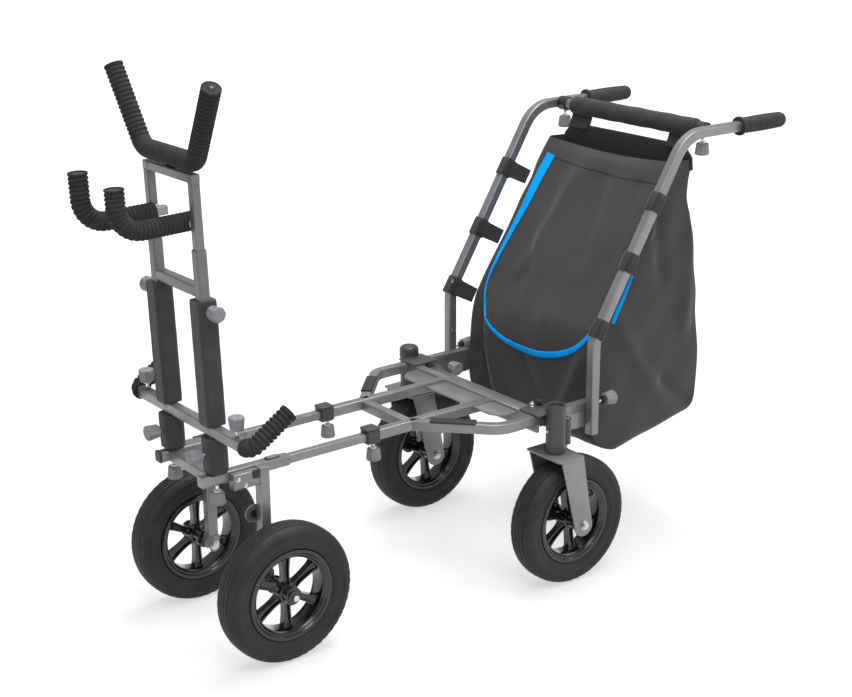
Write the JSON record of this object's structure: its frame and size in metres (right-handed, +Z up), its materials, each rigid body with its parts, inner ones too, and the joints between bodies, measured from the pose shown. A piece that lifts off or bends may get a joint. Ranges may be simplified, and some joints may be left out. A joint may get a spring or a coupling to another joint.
{
  "type": "fishing trolley",
  "caption": "Telescoping tube trolley with spoked wheels, a mast of foam rests and hooks in front, and a leaning push handle with a hanging bag.",
  "frame": {"origin": "on the ground, under the centre of the bounding box", "axes": "+X towards the push handle, +Y towards the right of someone who faces the mast from the handle, +Z up"},
  "size_m": [1.4501, 0.579, 1.044],
  "materials": {
    "grey_steel": "satin",
    "knob_plastic": "matte",
    "black_plastic": "satin",
    "foam": "matte",
    "tyre": "matte",
    "rim_plastic": "gloss",
    "grip_rubber": "matte",
    "chrome": "polished",
    "cloth": "matte"
  },
  "bodies": {
    "chassis": {"deck_frame": "grey_steel", "bow_left": "grey_steel", "bow_right": "grey_steel", "swivel_housing_left": "black_plastic", "swivel_housing_right": "black_plastic", "collar_left": "black_plastic", "collar_right": "black_plastic"},
    "front_end": {"front_frame": "grey_steel", "mast_frame": "grey_steel", "slide_rail_left": "grey_steel", "slide_rail_right": "grey_steel", "foam_lower_left": "foam", "foam_lower_right": "foam", "foam_upper_left": "foam", "foam_upper_right": "foam"},
    "mast_inner": {"inner_frame": "grey_steel"},
    "rest": {"rest_bar": "grey_steel", "rest_sleeve": "foam"},
    "hook_left": {"hook_bar_left": "grey_steel", "hook_sleeve_left": "foam"},
    "arm_left": {"arm_bar_left": "grey_steel", "arm_sleeve_left": "foam"},
    "wheel_front_left": {"tyre_front_left": "tyre", "rim_front_left": "rim_plastic"},
    "wheel_rear_left": {"tyre_rear_left": "tyre", "rim_rear_left": "rim_plastic"},
    "swivel_left": {"fork_left": "grey_steel"},
    "lock_left": {"lock_pin_left": "chrome"},
    "hook_right": {"hook_bar_right": "grey_steel", "hook_sleeve_right": "foam"},
    "arm_right": {"arm_bar_right": "grey_steel", "arm_sleeve_right": "foam"},
    "wheel_front_right": {"tyre_front_right": "tyre", "rim_front_right": "rim_plastic"},
    "wheel_rear_right": {"tyre_rear_right": "tyre", "rim_rear_right": "rim_plastic"},
    "swivel_right": {"fork_right": "grey_steel"},
    "lock_right": {"lock_pin_right": "chrome"},
    "handle": {"crossbar": "grey_steel", "bag": "cloth", "post_left": "grey_steel", "post_right": "grey_steel", "grip_left": "grip_rubber", "grip_right": "grip_rubber"},
    "knob_mast_top_left": {"knob_mast_top_left": "knob_plastic"},
    "knob_mast_top_right": {"knob_mast_top_right": "knob_plastic"},
    "knob_mast_low_left": {"knob_mast_low_left": "knob_plastic"},
    "knob_mast_low_right": {"knob_mast_low_right": "knob_plastic"},
    "knob_arm_left": {"knob_arm_left": "knob_plastic"},
    "knob_arm_right": {"knob_arm_right": "knob_plastic"},
    "knob_foot_left": {"knob_foot_left": "knob_plastic"},
    "knob_foot_right": {"knob_foot_right": "knob_plastic"},
    "knob_rail_left": {"knob_rail_left": "knob_plastic"},
    "knob_rail_right": {"knob_rail_right": "knob_plastic"},
    "knob_plate_left": {"knob_plate_left": "knob_plastic"},
    "knob_plate_right": {"knob_plate_right": "knob_plastic"},
    "knob_post_left": {"knob_post_left": "knob_plastic"},
    "knob_post_right": {"knob_post_right": "knob_plastic"},
    "knob_handle_left": {"knob_handle_left": "knob_plastic"},
    "knob_handle_right": {"knob_handle_right": "knob_plastic"}
  },
  "joints": [
    {"name": "front_slide", "type": "slide", "parent": "chassis", "child": "front_end", "axis": [1, 0, 0], "range_m": [-0.04, 0.17]},
    {"name": "mast_slide", "type": "slide", "parent": "front_end", "child": "mast_inner", "axis": [-0.0314, 0, 0.9995], "range_m": [0, 0.09]},
    {"name": "rest_swivel", "type": "hinge", "parent": "mast_inner", "child": "rest", "pos_m": [-0.57225, 0, 0.90343], "axis": [-0.0314, 0, 0.9995], "range_deg": [-90, 90]},
    {"name": "hook_left_tilt", "type": "hinge", "parent": "mast_inner", "child": "hook_left", "pos_m": [-0.56897, -0.05, 0.79878], "axis": [0, 1, 0], "range_deg": [0, 60]},
    {"name": "arm_left_slide", "type": "slide", "parent": "front_end", "child": "arm_left", "axis": [0, -1, 0], "range_m": [0, 0.045]},
    {"name": "wheel_front_left_roll", "type": "hinge", "parent": "front_end", "child": "wheel_front_left", "pos_m": [-0.47489, -0.158, 0.13], "axis": [0, 1, 0], "continuous": true},
    {"name": "wheel_rear_left_roll", "type": "hinge", "parent": "swivel_left", "child": "wheel_rear_left", "pos_m": [0.13411, -0.2325, 0.13], "axis": [0, 1, 0], "continuous": true},
    {"name": "swivel_left_turn", "type": "hinge", "parent": "chassis", "child": "swivel_left", "pos_m": [0.09911, -0.2325, 0.28], "axis": [0, 0, 1], "continuous": true},
    {"name": "lock_left_lift", "type": "slide", "parent": "chassis", "child": "lock_left", "axis": [0, 0, 1], "range_m": [0, 0.008]},
    {"name": "hook_right_tilt", "type": "hinge", "parent": "mast_inner", "child": "hook_right", "pos_m": [-0.56897, 0.05, 0.79878], "axis": [0, 1, 0], "range_deg": [0, 60]},
    {"name": "arm_right_slide", "type": "slide", "parent": "front_end", "child": "arm_right", "axis": [0, 1, 0], "range_m": [0, 0.045]},
    {"name": "wheel_front_right_roll", "type": "hinge", "parent": "front_end", "child": "wheel_front_right", "pos_m": [-0.47489, 0.158, 0.13], "axis": [0, 1, 0], "continuous": true},
    {"name": "wheel_rear_right_roll", "type": "hinge", "parent": "swivel_right", "child": "wheel_rear_right", "pos_m": [0.13411, 0.2325, 0.13], "axis": [0, 1, 0], "continuous": true},
    {"name": "swivel_right_turn", "type": "hinge", "parent": "chassis", "child": "swivel_right", "pos_m": [0.09911, 0.2325, 0.28], "axis": [0, 0, 1], "continuous": true},
    {"name": "lock_right_lift", "type": "slide", "parent": "chassis", "child": "lock_right", "axis": [0, 0, 1], "range_m": [0, 0.008]},
    {"name": "handle_slide", "type": "slide", "parent": "chassis", "child": "handle", "axis": [0, 0, 1], "range_m": [0, 0.06]},
    {"name": "knob_mast_top_left_turn", "type": "hinge", "parent": "front_end", "child": "knob_mast_top_left", "pos_m": [-0.56435, -0.0863, 0.65185], "axis": [0, -1, 0], "continuous": true},
    {"name": "knob_mast_top_right_turn", "type": "hinge", "parent": "front_end", "child": "knob_mast_top_right", "pos_m": [-0.56435, 0.0863, 0.65185], "axis": [0, 1, 0], "continuous": true},
    {"name": "knob_mast_low_left_turn", "type": "hinge", "parent": "front_end", "child": "knob_mast_low_left", "pos_m": [-0.56647, -0.076, 0.39166], "axis": [-0.9995, 0, -0.0314], "continuous": true},
    {"name": "knob_mast_low_right_turn", "type": "hinge", "parent": "front_end", "child": "knob_mast_low_right", "pos_m": [-0.56647, 0.076, 0.39166], "axis": [-0.9995, 0, -0.0314], "continuous": true},
    {"name": "knob_arm_left_turn", "type": "hinge", "parent": "front_end", "child": "knob_arm_left", "pos_m": [-0.55776, -0.158, 0.44226], "axis": [-0.0314, 0, 0.9995], "continuous": true},
    {"name": "knob_arm_right_turn", "type": "hinge", "parent": "front_end", "child": "knob_arm_right", "pos_m": [-0.55776, 0.158, 0.44226], "axis": [-0.0314, 0, 0.9995], "continuous": true},
    {"name": "knob_foot_left_turn", "type": "hinge", "parent": "front_end", "child": "knob_foot_left", "pos_m": [-0.55489, -0.076, 0.3307], "axis": [0, 0, -1], "continuous": true},
    {"name": "knob_foot_right_turn", "type": "hinge", "parent": "front_end", "child": "knob_foot_right", "pos_m": [-0.55489, 0.076, 0.3307], "axis": [0, 0, -1], "continuous": true},
    {"name": "knob_rail_left_turn", "type": "hinge", "parent": "chassis", "child": "knob_rail_left", "pos_m": [-0.21789, -0.076, 0.3327], "axis": [0, 0, -1], "continuous": true},
    {"name": "knob_rail_right_turn", "type": "hinge", "parent": "chassis", "child": "knob_rail_right", "pos_m": [-0.21789, 0.076, 0.3327], "axis": [0, 0, -1], "continuous": true},
    {"name": "knob_plate_left_turn", "type": "hinge", "parent": "chassis", "child": "knob_plate_left", "pos_m": [0.17111, -0.1917, 0.3255], "axis": [0, 1, 0], "continuous": true},
    {"name": "knob_plate_right_turn", "type": "hinge", "parent": "chassis", "child": "knob_plate_right", "pos_m": [0.17111, 0.1917, 0.3255], "axis": [0, -1, 0], "continuous": true},
    {"name": "knob_post_left_turn", "type": "hinge", "parent": "handle", "child": "knob_post_left", "pos_m": [0.21341, -0.2223, 0.3507], "axis": [1, 0, 0], "continuous": true},
    {"name": "knob_post_right_turn", "type": "hinge", "parent": "handle", "child": "knob_post_right", "pos_m": [0.21341, 0.2223, 0.3507], "axis": [1, 0, 0], "continuous": true},
    {"name": "knob_handle_left_turn", "type": "hinge", "parent": "handle", "child": "knob_handle_left", "pos_m": [0.50311, -0.201, 0.8347], "axis": [0, 0, -1], "continuous": true},
    {"name": "knob_handle_right_turn", "type": "hinge", "parent": "handle", "child": "knob_handle_right", "pos_m": [0.50311, 0.201, 0.8347], "axis": [0, 0, -1], "continuous": true}
  ]
}
